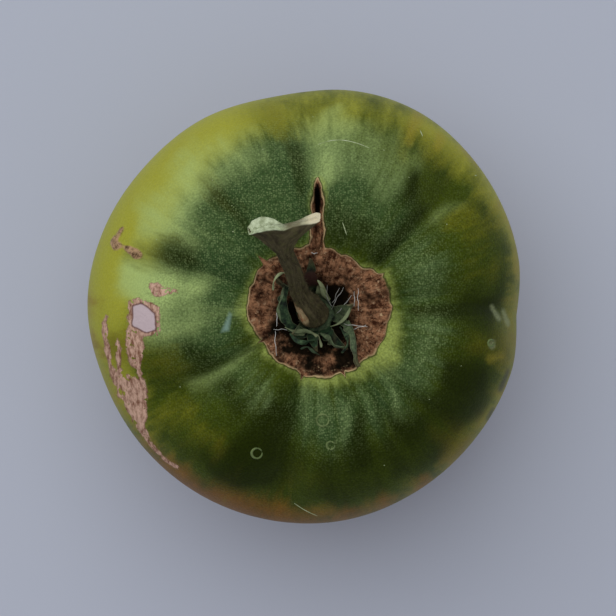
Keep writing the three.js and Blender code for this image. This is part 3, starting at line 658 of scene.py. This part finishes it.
# Each sepal: the angle it leaves at, how far round its tip has bent, where it ends, its half width, how high
# it stands off the wall midway and at the tip, the roll of its blade, how bleached it is, how rusty its
# middle, and the shares of its length that it bends between, where that isn't all of it.
SEPALS = [
    dict(angle=2, drift=12, reach=8.2, half=1.6, lift=1.5, tip=1.8, roll=15, pale=0.3, rust=0.0),
    dict(angle=68, drift=12, reach=6.5, half=1.6, lift=1.8, tip=1.3, roll=-25, pale=1.2, rust=0.0),
    dict(angle=104, drift=-8, reach=11.6, half=1.7, lift=1.3, tip=1.3, roll=15, pale=0.1, rust=1.0),
    dict(angle=226, drift=-6, reach=6.8, half=1.3, lift=1.7, tip=1.4, roll=-20, pale=0.35, rust=0.0),
    dict(angle=242, drift=-105, reach=11.0, half=1.1, lift=1.2, tip=1.9, roll=-40, pale=0.1, rust=0.0,
         turns=(0.15, 0.65)),
    dict(angle=262, drift=10, reach=7.8, half=1.3, lift=1.2, tip=1.3, roll=25, pale=0.0, rust=0.3),
    dict(angle=300, drift=12, reach=9.8, half=1.5, lift=1.3, tip=1.4, roll=30, pale=-0.1, rust=0.4),
    dict(angle=352, drift=-42, reach=14.2, half=1.0, lift=1.5, tip=0.9, roll=40, pale=0.25, rust=0.0),
]


def unit(vectors):
    """Vectors scaled to length 1."""
    return vectors / np.linalg.norm(vectors, axis=-1, keepdims=True)


def along_line(points, count):
    """Count points evenly spaced along the Catmull-Rom curve through the given ones, and the curve's
    direction there."""
    points = np.array(points, float)
    ends = np.concatenate([[2 * points[0] - points[1]], points, [2 * points[-1] - points[-2]]])
    t = np.linspace(0, 1, 41)[:, None]
    fine = np.concatenate([catmull_rom(*four, t) for four in zip(ends, ends[1:], ends[2:], ends[3:])])
    length = np.concatenate([[0], np.cumsum(np.linalg.norm(np.diff(fine, axis=0), axis=1))])
    even = np.linspace(0, length[-1], count)
    line = np.stack([np.interp(even, length, fine[:, k]) for k in range(3)], axis=1)
    return line, unit(np.gradient(line, axis=0))


def over_wall(plan, lift):
    """Points that stand off the hollow's wall by lift, straight above their places in plan. The wall's
    height is the superellipse of the crown less the hollow."""
    r = np.hypot(*(plan[:, :2] - HOLLOW_CENTRE).T)
    crown = CROWN_RISE * (1 - np.clip(r / GIRTH_RADIUS, 0, 1) ** ROUNDNESS) ** (1 / ROUNDNESS)
    return np.column_stack([plan[:, :2], EQUATOR_Z + crown - hollow(r) + lift])


def sepal_shell(sepal, seed):
    """One sepal: a thin blade along an arc that climbs the wall of the hollow. Its section is a flat ellipse
    whose edges lift by curl times the square of their place across, and waves run along its edges."""
    t = np.linspace(0, 1, 9)
    r = SEPAL_ROOT + (sepal["reach"] - SEPAL_ROOT) * t
    angle = np.radians(sepal["angle"] + sepal["drift"] * smooth(*sepal.get("turns", (0, 1)), t))
    middle = sepal["lift"] * np.sin(np.pi * np.minimum(t, 0.5))
    off = middle + (sepal["tip"] - middle) * smooth(0.5, 1, t)
    plan = CUP_CENTRE + r[:, None] * np.column_stack([np.cos(angle), np.sin(angle)])
    line, along = along_line(over_wall(plan, SEPAL_CLEAR + off * smooth(0.15, 0.5, t)), SEPAL_ROWS)
    t = np.linspace(0, 1, SEPAL_ROWS)[:, None]
    level = unit(np.cross([0, 0, 1], along))
    roll = np.radians(sepal["roll"]) * t
    wide = level * np.cos(roll) + np.cross(along, level) * np.sin(roll)
    face = np.cross(along, wide)
    turned = np.linspace(0, 2 * np.pi, SEPAL_COLUMNS, endpoint=False)[None, :]
    u, v = np.cos(turned), np.sin(turned)
    swell = SEPAL_ROOT_WIDTH + SEPAL_SWELL * np.sin(np.pi / 2 * t / SEPAL_WIDEST)
    edges = np.concatenate([line + 3 * wide * side for side in (-1, 1)], axis=1).reshape(SEPAL_ROWS, 2, 3)
    ragged = ripples(edges, 2.2, seed)
    ragged = np.where(u > 0, ragged[:, 1:], ragged[:, :1])
    half = sepal["half"] * swell * np.sqrt(1.03 - t) * (1 + SEPAL_RAGGED * ragged)
    rise = SEPAL_THICKNESS / 2 * v * (1 - 0.55 * u * u) + SEPAL_RIB * bell(u / SEPAL_RIB_HALF) * np.sign(v)
    rise = rise + (SEPAL_CURL * t + SEPAL_TROUGH) * u * u + SEPAL_WAVES * ragged * t * np.abs(u) ** 3
    grid = line[:, None] + wide[:, None] * (half * u)[..., None] + face[:, None] * rise[..., None]
    fields = dict(pale=sepal["pale"], edge=np.abs(u), reach=t, rust=sepal["rust"] * bell((t - 0.6) / 0.22))
    fields = {name: np.broadcast_to(field, rise.shape) for name, field in fields.items()}
    return closed_shell(grid, line[0], line[-1], **fields)


def calyx_mesh():
    """The cup, a profile turned about its upright line with a knobbly rim, and the sepals that leave it."""
    profile, _ = along_line([(r, 0, z) for r, z in CUP_PROFILE], 40)
    turned = np.linspace(0, 2 * np.pi, CUP_COLUMNS, endpoint=False)[None, :]
    knobs = CUP_KNOB_RISE * np.cos(CUP_KNOBS * turned + 0.4) * smooth(56, 58, profile[:, 2:])
    r = profile[:, :1] * (1 + knobs)
    z = profile[:, 2:] + 0 * turned
    cup = np.stack([CUP_CENTRE[0] + r * np.cos(turned), CUP_CENTRE[1] + r * np.sin(turned), z], axis=-1)
    cup = cup - 0.05 * np.abs(ripples(cup, 1.2, 8))[..., None] * [0, 0, 1] * smooth(58, 58.5, z)[..., None]
    ends = [np.array([*CUP_CENTRE, height]) for height in CUP_ENDS]
    flat = 0 * z
    shells = [closed_shell(cup, *ends, pale=flat + 0.2, edge=flat, reach=flat, rust=flat)]
    shells += [sepal_shell(sepal, 20 + k) for k, sepal in enumerate(SEPALS)]
    return mesh_of("calyx_cup_and_sepals", shells)


def dried_leaf():
    """Dried sepal: dull blue-green leaf that has bleached along its edges and browned at its tip."""
    leaf = fresh_material("dried_sepal")
    place = add(leaf, "TexCoord", take="Object")
    pale, edge, reach, rust = (add(leaf, "Attribute", take="Fac", attribute_name=name)
                               for name in ("pale", "edge", "reach", "rust"))
    mottle = add(leaf, "TexNoise", place, 1 / (1.11 * MM), 5, 0.65)
    bleached = add(leaf, "Math", mottle, 0.6, pale, operation="MULTIPLY_ADD")
    rusty = add(leaf, "Math", mottle, 0.5, rust, operation="MULTIPLY_ADD")
    colour = cover(leaf, "#101a12", [
        (mottle, 0.35, 0.7, 1, "#3b5a36"), (bleached, 0.4, 1.2, 1, "#9ca679"),
        (edge, 0.9, 1, 0.55, "#9c9a74"), (reach, 0.82, 1, 0.6, "#6b5638"),
        (rusty, 0.5, 0.9, 0.9, "#4a2a22")])
    bump = add(leaf, "Bump", Strength=0.6, Distance=0.3 * MM, Height=mottle)
    return finish_material(leaf, Base_Color=colour, Roughness=0.75, Normal=bump, Specular_IOR_Level=0.3)


calyx = put(calyx_mesh(), dried_leaf(), node="calyx")

# Shreds: narrow strips of the same dried leaf. They split off the sepals as they dried, and lie curled over
# them round the stalk's foot.
SHRED_FLATNESS = 0.35
TUBE_TIP = 0.34
SHRED_OVER_WALL, SHRED_ARCH, SHRED_LAYER = 2.5, 0.8, 0.3
SHRED_ROWS, SHRED_SIDES = 40, 12
# Each shred: its line in plan, its half width, its twists, how bleached it is, and how rusty a few are.
SHREDS = [
    dict(line=[(-3.9, -4.4), (-1.8, -5.3), (0.4, -5.2), (2.2, -6.0)], half=0.5, twists=0.4, pale=0.55),
    dict(line=[(-2.8, -5.7), (-1.4, -7.2), (0.6, -7.6), (2.5, -6.9)], half=0.55, twists=0.6, pale=0.1),
    dict(line=[(1.3, -5.1), (2.6, -6.1), (3.5, -7.2), (3.7, -8.6)], half=0.42, twists=0.8, pale=0.8,
         rust=0.35),
    dict(line=[(3.5, -5.6), (5.3, -6.7), (6.5, -8.3), (8.7, -8.5)], half=0.6, twists=0.5, pale=0.3),
    dict(line=[(7.6, -4.4), (8.9, -6.0), (9.1, -8.2), (7.9, -9.7)], half=0.55, twists=0.7, pale=0.15),
    dict(line=[(-4.6, -3.4), (-5.3, -0.8), (-4.6, 1.8), (-4.0, 4.2)], half=0.4, twists=0.9, pale=0.35),
    dict(line=[(-6.3, 3.3), (-6.1, 5.2), (-5.0, 6.6), (-3.7, 6.9)], half=0.34, twists=0.7, pale=1.0),
    dict(line=[(5.6, -4.3), (7.2, -3.7), (8.8, -2.3), (9.9, -0.2)], half=0.42, twists=0.4, pale=0.7),
    dict(line=[(2.9, 5.4), (3.7, 4.4), (4.3, 2.7), (5.4, 1.2)], half=0.7, twists=0.3, pale=1.25),
    dict(line=[(-0.6, -8.9), (0.9, -8.5), (2.0, -9.4), (3.4, -10.2)], half=0.36, twists=0.8, pale=0.0,
         rust=0.3),
]


def thread_shell(points, radius, rows, sides, flat=1.0, twists=0.0, **fields):
    """A thin tube of rings round the curve through its points, which narrows to a third at both ends. Its
    section is an ellipse, flat times as thick as it is wide, that twists so many turns. Each field is one
    number for the tube."""
    line, along = along_line(points, rows)
    across = unit(np.cross(along, np.eye(3)[np.abs(along.mean(axis=0)).argmin()]))
    over = np.cross(along, across)
    twist = twists * 2 * np.pi * np.linspace(0, 1, rows)[:, None]
    across, over = (across * np.cos(twist) + over * np.sin(twist),
                    over * np.cos(twist) - across * np.sin(twist))
    turned = np.linspace(0, 2 * np.pi, sides, endpoint=False)[None, :, None]
    full = np.sqrt(np.sin(np.linspace(0, np.pi, rows)).clip(0, 1))
    girth = radius * (TUBE_TIP + (1 - TUBE_TIP) * full)[:, None, None]
    grid = line[:, None] + girth * (np.cos(turned) * across[:, None] + flat * np.sin(turned) * over[:, None])
    fields = {name: np.full(grid.shape[:2], field) for name, field in fields.items()}
    return closed_shell(grid, line[0], line[-1], **fields)


def shreds_mesh():
    """The shreds, each a flat twisted strip that stays above the hollow's wall and arches in its middle."""
    shells = []
    for k, shred in enumerate(SHREDS):
        plan, _ = along_line([(x, y, 0) for x, y in shred["line"]], 7)
        arch = SHRED_ARCH * np.sin(np.linspace(0, np.pi, 7)) + SHRED_LAYER * (k % 2)
        shells.append(thread_shell(
            over_wall(plan, SHRED_OVER_WALL + arch), shred["half"], SHRED_ROWS, SHRED_SIDES, SHRED_FLATNESS,
            shred["twists"], pale=shred["pale"], edge=0.0, reach=0.0, rust=shred.get("rust", 0.0)))
    return mesh_of("withered_shreds", shells)


put(shreds_mesh(), calyx.data.materials[0])

# The stalk: a stiff dried stub, ridged along its length, that leans out of the cup. Its foot is swollen,
# with one bare pale flank. Its top flares into two arms that were cut through, so its end shows pale wood.
STALK_LINE = [
    (2.26, -1.83, 59.25), (1.66, -0.63, 61.4), (0.16, 1.27, 64.4), (-0.94, 3.27, 67.4), (-1.54, 5.27, 70.3),
    (-2.04, 7.27, 73.0), (-2.94, 9.27, 75.6), (-3.84, 11.27, 78.2), (-4.24, 13.47, 81.0),
    (-3.99, 15.87, 83.6),
]
STALK_FOOT, STALK_NECK = 3.2, 1.7
STALK_FOOT_FADES = 0.2
STALK_FOOT_RISE = 0.03
STALK_ROWS, STALK_COLUMNS = 170, 96
HEAD_ACROSS = (14.3, 2.0, 0.4)
HEAD_HALVES = (7.2, 2.3)
HEAD_STARTS, HEAD_FLARE, HEAD_BLUNT = 0.76, 1.7, 0.5
HEAD_WAIST = dict(share=0.75, at=0.25, spread=0.6)
HEAD_LEFT_HUMP = dict(rise=1.0, at=-0.42)
HEAD_RIGHT_RISE = 2.9
# Ridges: their height as a share of the radius, how many there are, how far they wind and where they start.
STALK_RIDGES = [(0.09, 5, 2.2, 0), (0.05, 11, -3, 1)]
BARE_FLANK = dict(turned=182, at=0.12, spread=0.12)
# How far in each ring of the cut end lies, as a share of the way to the middle line.
END_RINGS = (0.1, 0.3, 0.5, 0.7, 0.88)
# The grain field's radius round the stalk and its length, and the streaks' width in millimetres.
GRAIN_ROUND, GRAIN_ALONG = 2, 9
STREAK_WIDTH = 0.531


def stalk_mesh():
    """A tube along the stalk's line. Its round section widens to the foot, and turns at the top into a wide,
    blunt dog-bone whose ends stand up. Ridges and a fine grain run along it, and the cut end closes it."""
    line, along = along_line(STALK_LINE, STALK_ROWS)
    t = np.linspace(0, 1, STALK_ROWS)[:, None]
    thin = unit(np.cross(along, HEAD_ACROSS))
    wide = np.cross(thin, along)
    turned = np.linspace(0, 2 * np.pi, STALK_COLUMNS, endpoint=False)[None, :]
    foot = (STALK_FOOT - STALK_NECK) * bell(t / STALK_FOOT_FADES)
    flare = np.clip((t - HEAD_STARTS) / (1 - HEAD_STARTS), 0, 1) ** HEAD_FLARE
    blunt = 1 + (HEAD_BLUNT - 1) * flare
    u, v = (np.sign(x) * np.abs(x) ** blunt for x in (np.cos(turned), np.sin(turned)))
    waist = 1 - HEAD_WAIST["share"] * bell((u - HEAD_WAIST["at"]) / HEAD_WAIST["spread"]) * flare
    ridges = sum(high * np.cos(count * turned + winds * t + start)
                 for high, count, winds, start in STALK_RIDGES)
    grain = [GRAIN_ROUND * np.cos(turned), GRAIN_ROUND * np.sin(turned), GRAIN_ALONG * t]
    grain = np.stack(np.broadcast_arrays(*grain), axis=-1)
    rough = 0.07 * ripples(grain, 1.6, 11) + 0.04 * ripples(grain, 0.6, 12)
    swell = 1 + (ridges + rough) * smooth(0, 0.05, t) * (1 - 0.5 * flare)
    across, through = (STALK_NECK + foot + (half - STALK_NECK) * flare for half in HEAD_HALVES)
    across = across * u * (1 + (swell - 1) * (1 - 0.6 * flare))
    through = through * waist * v * swell
    hump = HEAD_LEFT_HUMP["rise"] * (1 - (u / HEAD_LEFT_HUMP["at"] - 1) ** 2)
    horns = flare * np.where(u > 0, HEAD_RIGHT_RISE * u, hump)
    parts = (wide, across), (thin, through), (along, horns)
    grid = line[:, None] + sum(axis[:, None] * size[..., None] for axis, size in parts)
    lowest = STALK_LINE[0][2] + STALK_FOOT_RISE * np.arange(STALK_ROWS)
    grid[..., 2] = np.maximum(grid[..., 2], lowest[:, None])
    grid[0, :, 2] = lowest[0]

    # The cut end draws in towards the middle line of the dog-bone, a little sunk and fibrous.
    inward = np.array(END_RINGS)[:, None]
    parts = ((wide, across[-1:] * (1 - 0.1 * inward)), (thin, through[-1:] * (1 - inward)),
             (along, horns[-1:] - 0.3 * smooth(0, 0.5, inward)))
    face = line[-1] + sum(axis[-1] * size[..., None] for axis, size in parts)
    face = face + along[-1] * (0.12 * ripples(face, 0.9, 13))[..., None]
    whole = np.concatenate([grid, face])
    cut = np.concatenate([smooth(0.985, 1, t) * 0.6 + 0 * u, 1 + 0 * inward * u[-1:]])
    right = np.concatenate([u + 0 * t, u[-1:] + 0 * inward])
    side = np.cos(turned - np.radians(BARE_FLANK["turned"]))
    bare = bell((t - BARE_FLANK["at"]) / BARE_FLANK["spread"]) * smooth(0.1, 0.8, side)
    bare = np.concatenate([bare, 0 * inward * u[-1:]])
    grain = np.concatenate([grain, np.repeat(grain[-1:], len(inward), axis=0)])
    fields = dict(cut=cut, bare=bare, right=right, grain=grain)
    return mesh_of("leaning_stalk", [closed_shell(whole, line[0], whole[-1].mean(axis=0), **fields)])


def dried_wood():
    """Dried stalk: dull grey-brown skin with dark lengthwise streaks, pale greenish wood at the cut, and a
    cream flank with rusty streaks at the foot."""
    wood = fresh_material("dried_stalk")
    place = add(wood, "TexCoord", take="Object")
    grain = add(wood, "Attribute", take="Vector", attribute_name="grain")
    cut, bare, right = (add(wood, "Attribute", take="Fac", attribute_name=name)
                        for name in ("cut", "bare", "right"))
    streaks = add(wood, "TexNoise", grain, STALK_NECK / GRAIN_ROUND / STREAK_WIDTH, 5, 0.7)
    mottle = add(wood, "TexNoise", place, 1 / (1.25 * MM), 5, 0.65)
    flank = cover(wood, "#c9b184", [(streaks, 0.45, 0.6, 1, "#a2623c")])
    worn = add(wood, "Math", add(wood, "Math", right, -0.3, operation="ADD"), operation="ABSOLUTE")
    end = cover(wood, "#99a37b", [
        (mottle, 0.35, 0.6, 1, "#d6e0b8"), (right, 0.4, 0.8, 1, "#e2d7b3"),
        (worn, 0.45, 0.15, 0.75, "#7b6c52")])
    shown = add(wood, "Math", mottle, 0.5, bare, operation="MULTIPLY_ADD")
    colour = cover(wood, "#352e1d", [
        (streaks, 0.35, 0.66, 1, "#5f573b"), (mottle, 0.5, 0.7, 0.6, "#53532b"),
        (shown, 0.55, 0.8, 1, flank), (cut, 0.3, 0.7, 1, end)])
    relief = add(wood, "Math", streaks, mottle, operation="ADD")
    bump = add(wood, "Bump", Strength=0.6, Distance=0.4 * MM, Height=relief)
    return finish_material(wood, Base_Color=colour, Roughness=0.85, Normal=bump, Specular_IOR_Level=0.2)


stalk = put(stalk_mesh(), dried_wood(), node="stalk")

# Fine fibres: white threads, an eighth of a millimetre thick, that hang across the hollow, caught on the
# sepals. They are dead plant or web fibre.
THREAD_RADIUS = 0.065
THREAD_OVER_WALL, THREAD_BOW, THREAD_LAYER = 2.6, 0.35, 0.25
THREAD_ROWS, THREAD_SIDES = 22, 6
THREAD_KINKS = 0.09
THREADS = [
    [(8.2, -3.65), (10.1, -4.1), (13.3, -4.3)], [(10.3, -4.9), (12.95, -3.85)],
    [(5.0, 4.6), (5.0, 2.0), (6.1, -0.1)], [(8.2, 3.9), (6.9, 1.4), (5.7, -0.9)], [(7.4, 3.7), (6.1, 0.8)],
    [(10.1, 2.5), (8.0, -0.3), (6.9, -1.5)], [(11.2, 3.7), (11.4, -0.9)], [(-5.5, -0.9), (-5.5, -4.3)],
    [(-6.3, -4.7), (-3.4, -5.1)], [(-5.9, -5.1), (-5.7, -10.4)], [(1.6, 10.9), (3.0, 11.0)],
    [(10.6, 3.1), (10.7, -0.2)],
]


def hanging_threads():
    """The threads, each a little above the wall and bowed, with small random kinks along it."""
    draw = np.random.default_rng(30)
    shells = []
    for k, thread in enumerate(THREADS):
        plan, _ = along_line([(x, y, 0) for x, y in thread], 6)
        plan = plan[:, :2] + draw.normal(0, THREAD_KINKS, (6, 2))
        bow = THREAD_BOW * np.sin(np.linspace(0, np.pi, 6)) + THREAD_LAYER * (k % 3)
        line = over_wall(plan, THREAD_OVER_WALL + bow)
        shells.append(thread_shell(line, THREAD_RADIUS, THREAD_ROWS, THREAD_SIDES))
    return mesh_of("hanging_threads", shells)


def two_tones(name, size, dark, light, **finish):
    """Dead plant matter, mottled in two tones by noise whose grains have that size in millimetres."""
    material = fresh_material(name)
    tone = add(material, "TexNoise", add(material, "TexCoord", take="Object"), 1 / (size * MM), 2)
    colour = add(material, "Mix", tone, dark, light, data_type="RGBA")
    return finish_material(material, Base_Color=colour, **finish)


# Dead fibre is off-white, a little brighter and duller along its length.
pale_fibre = two_tones("pale_fibre", 2, "#a5a08c", "#f1f2ee", Roughness=0.5)
put(hanging_threads(), pale_fibre)

# Stalk hairs: the short stiff hairs left on the dried stalk. They grew out of its bark, all round it, and
# stand out of it below the cut head.
HAIRS = 420
HAIRY_HEIGHTS = (60.5, 81)
HAIR_ROWS, HAIR_SIDES = 4, 3
HAIR_LENGTHS = (0.25, 0.8)
HAIR_RADIUS = 0.022


def stalk_hairs():
    """Hairs as thin bent tubes that stand out of random places on the stalk, below its cut head."""
    draw = np.random.default_rng(31)
    verts = np.array([vertex.co for vertex in stalk.data.vertices]) / MM
    ways = np.array([vertex.normal for vertex in stalk.data.vertices])
    low, high = HAIRY_HEIGHTS
    bark = np.flatnonzero((verts[:, 2] > low) & (verts[:, 2] < high) & (np.abs(ways[:, 2]) < 0.9))
    shells = []
    for root in draw.choice(bark, HAIRS, replace=False):
        way = unit(ways[root] + draw.normal(0, 0.25, 3) + [0, 0, 0.3])
        length = draw.uniform(*HAIR_LENGTHS)
        line = [verts[root] - 0.1 * way, verts[root] + 0.5 * length * way,
                verts[root] + length * way + [0, 0, 0.2 * length]]
        shells.append(thread_shell(line, HAIR_RADIUS, HAIR_ROWS, HAIR_SIDES))
    return mesh_of("stalk_hairs", shells)


# Dry plant hair is dull grey-brown, a little lighter than the bark.
dry_hair = two_tones("dry_stalk_hair", 3.33, "#4a432e", "#857b5c", Roughness=0.7, Specular_IOR_Level=0.2)
put(stalk_hairs(), dry_hair)

# Healed scratches: hair-thin raised lines of pale cork that grew over old scratches in the skin, round ones
# where an insect or a drop sat, and specks.
SCRATCH_RADIUS, SCRATCH_SIDES = 0.12, 6
DROP_FROM = 200
RING_RADIUS = 0.3
RING_SCRATCHES = [(4.0, -23.7, 1.25), (-9.8, -30.8, 1.1), (5.7, -29.0, 0.85), (39.6, -7.8, 0.7)]
SCRATCHES = [
    [(3.0, 34.2), (5.4, 34.9), (8.2, 35.0), (11.2, 34.3), (13.9, 33.2)],
    [(8.1, 17.4), (8.5, 16.2), (9.0, 14.7)], [(-2.1, -42.1), (0.2, -43.7), (3.0, -45.2)],
    [(24.9, 37.6), (25.4, 36.2)],
]
SPECKS = [
    (37.0, 28.1, 0.45), (16.9, 32.8, 0.4), (-15.0, 21.0, 0.35), (-14.7, 15.5, 0.4), (22.1, 27.0, 0.3),
    (-19.2, 26.5, 0.25), (30.1, 17.2, 0.3), (-8.6, 33.0, 0.25), (26.3, -19.5, 0.25), (-26.0, -17.0, 0.3),
    (2.0, 40.6, 0.25), (17.0, -33.5, 0.3), (33.0, -12.5, 0.25), (-31.0, 14.0, 0.25), (12.0, 28.5, 0.2),
]


def scratch_shells():
    """Each scratch, ring and speck as a thin tube whose middle line drops straight down on to the skin."""
    skin = BVHTree.FromPolygons([vertex.co for vertex in fruit.data.vertices],
                                [face.vertices for face in fruit.data.polygons])
    draw = np.random.default_rng(41)
    round_trip = np.radians(np.linspace(20, 370, 25))
    lines = [(line, SCRATCH_RADIUS, 1.0) for line in SCRATCHES]
    lines += [(np.column_stack([x + r * np.cos(round_trip), y + r * np.sin(round_trip)]), RING_RADIUS, 0.0)
              for x, y, r in RING_SCRATCHES]
    for x, y, size in SPECKS:
        way = draw.uniform(0, np.pi)
        step = size / 2 * np.array([np.cos(way), np.sin(way)])
        lines.append(([(x - step[0], y - step[1]), (x + step[0], y + step[1])], 0.4 * size, 0.8))
    shells = []
    for line, radius, bright in lines:
        rows = max(6, int(3 * np.linalg.norm(np.diff(line, axis=0), axis=1).sum()))
        plan, _ = along_line([(x, y, 0) for x, y in line], rows)
        hits = [skin.ray_cast((x * MM, y * MM, DROP_FROM * MM), (0, 0, -1))[0] for x, y, _ in plan]
        on_skin = np.array(hits) / MM - [0, 0, 0.3 * radius]
        shells.append(thread_shell(on_skin, radius, rows, SCRATCH_SIDES, bright=bright))
    return shells


def pale_scratch():
    """Old scratches: pale green-grey cork, a little broken in tone, and brighter on the long ones."""
    scratch = fresh_material("pale_scratch")
    place = add(scratch, "TexCoord", take="Object")
    bright = add(scratch, "Attribute", take="Fac", attribute_name="bright")
    tone = add(scratch, "TexNoise", place, 1 / (1.43 * MM), 3)
    dull, light = (cover(scratch, dark, [(tone, 0.35, 0.65, 1, pale)])
                   for dark, pale in (("#54662e", "#76874b"), ("#91a164", "#cad3aa")))
    colour = add(scratch, "Mix", bright, dull, light, data_type="RGBA")
    return finish_material(scratch, Base_Color=colour, Roughness=0.6)


put(mesh_of("healed_scratches", scratch_shells()), pale_scratch())

# The floor and light: a plain pale grey board under one broad soft window light, high in the upper left, in
# an even grey room. Their sizes and places are in metres.
FLOOR_HALF = 1.5
LIGHT_SIZE, LIGHT_POWER, LIGHT_COLOUR = 2.2, 16.5, (0.95, 0.98, 1.0)
LIGHT_PLACE, LIGHT_AIM = (-0.42, 0.8, 1.3), (0, 0, 0.03)
ROOM_LIGHT = 0.71
floor_mesh = bpy.data.meshes.new("floor")
floor_mesh.from_pydata([(-FLOOR_HALF, -FLOOR_HALF, 0), (FLOOR_HALF, -FLOOR_HALF, 0),
                        (FLOOR_HALF, FLOOR_HALF, 0), (-FLOOR_HALF, FLOOR_HALF, 0)], [], [(0, 1, 2, 3)])
floor = bpy.data.objects.new("floor", floor_mesh)
bpy.context.collection.objects.link(floor)
board = finish_material(fresh_material("pale_grey_board"), Base_Color="#c6cad6", Roughness=0.9)
floor_mesh.materials.append(board)

lamp = bpy.data.lights.new("window_light", "AREA")
lamp.size, lamp.energy, lamp.color = LIGHT_SIZE, LIGHT_POWER, LIGHT_COLOUR
light = bpy.data.objects.new("window_light", lamp)
bpy.context.collection.objects.link(light)
across, back, down = np.array(LIGHT_AIM) - LIGHT_PLACE
light.location = LIGHT_PLACE
light.rotation_euler = (np.arctan2(np.hypot(across, back), -down), 0, np.arctan2(back, across) - np.pi / 2)
world = bpy.data.worlds.new("room")
world.use_nodes = True
bpy.context.scene.world = world
background = world.node_tree.nodes["Background"].inputs
background["Color"].default_value = linear("#babcc4")
background["Strength"].default_value = ROOM_LIGHT

# The camera looks straight down, as in the photograph: half a metre above the girth.
PIXELS = 616
PIXEL_AT_GIRTH = 0.2212
CAMERA_ABOVE_GIRTH = 500
CAMERA_SHIFT = (0.93, -0.38)
lens = bpy.data.cameras.new("camera")
lens.angle = 2 * np.arctan(PIXELS * PIXEL_AT_GIRTH / 2 / CAMERA_ABOVE_GIRTH)
camera = bpy.data.objects.new("camera", lens)
bpy.context.collection.objects.link(camera)
camera.location = (CAMERA_SHIFT[0] * MM, CAMERA_SHIFT[1] * MM, (EQUATOR_Z + CAMERA_ABOVE_GIRTH) * MM)
bpy.context.scene.camera = camera
bpy.context.scene.view_settings.view_transform = "Standard"
